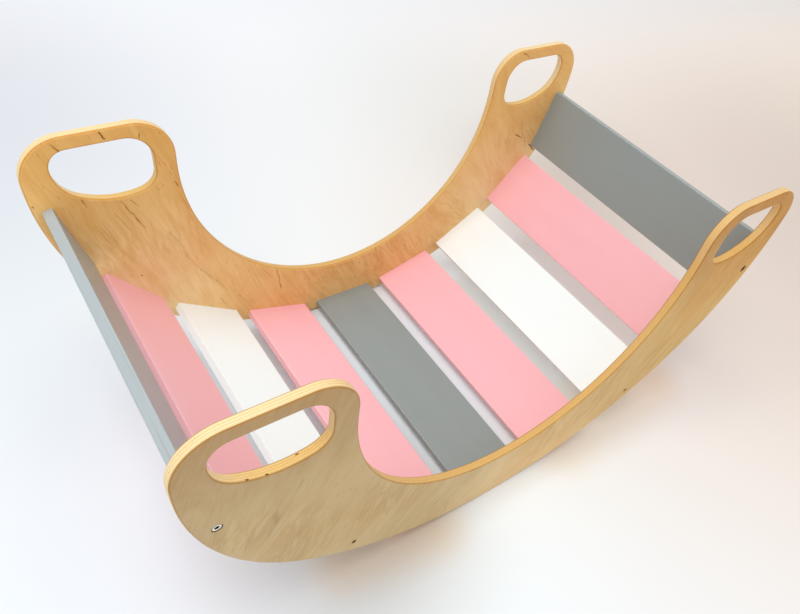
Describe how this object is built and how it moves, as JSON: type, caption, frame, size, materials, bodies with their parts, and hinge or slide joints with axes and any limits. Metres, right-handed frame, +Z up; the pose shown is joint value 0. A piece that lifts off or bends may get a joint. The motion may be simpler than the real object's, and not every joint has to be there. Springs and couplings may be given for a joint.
{
  "type": "rocker arch",
  "caption": "Wooden rocker arch for a child: two bowed plywood side panels with hand holes, joined by flat painted slats that form a curved seat.",
  "frame": {"origin": "on the floor under the middle of the arch, at the bottom centre of its box", "axes": "+X along the arch from the left handles to the right ones, +Y across it to the rear panel, +Z up"},
  "size_m": [0.8274, 0.434, 0.4],
  "materials": {
    "plywood": "clear satin varnish",
    "paint_grey": "satin grey paint",
    "paint_pink": "satin pink paint",
    "paint_white": "satin white paint",
    "dowel": "raw beech",
    "screw_steel": "nickel plated",
    "screw_brass": "yellow passivated"
  },
  "bodies": {
    "root": {"front_side_panel": "plywood", "rear_side_panel": "plywood", "slat_1": "paint_grey", "slat_2": "paint_pink", "slat_3": "paint_white", "slat_4": "paint_pink", "slat_5": "paint_grey", "slat_6": "paint_pink", "slat_7": "paint_white", "slat_8": "paint_pink", "slat_9": "paint_grey", "dowels": "dowel", "connector_screws": "screw_steel", "slim_screws": "screw_brass"}
  },
  "joints": []
}
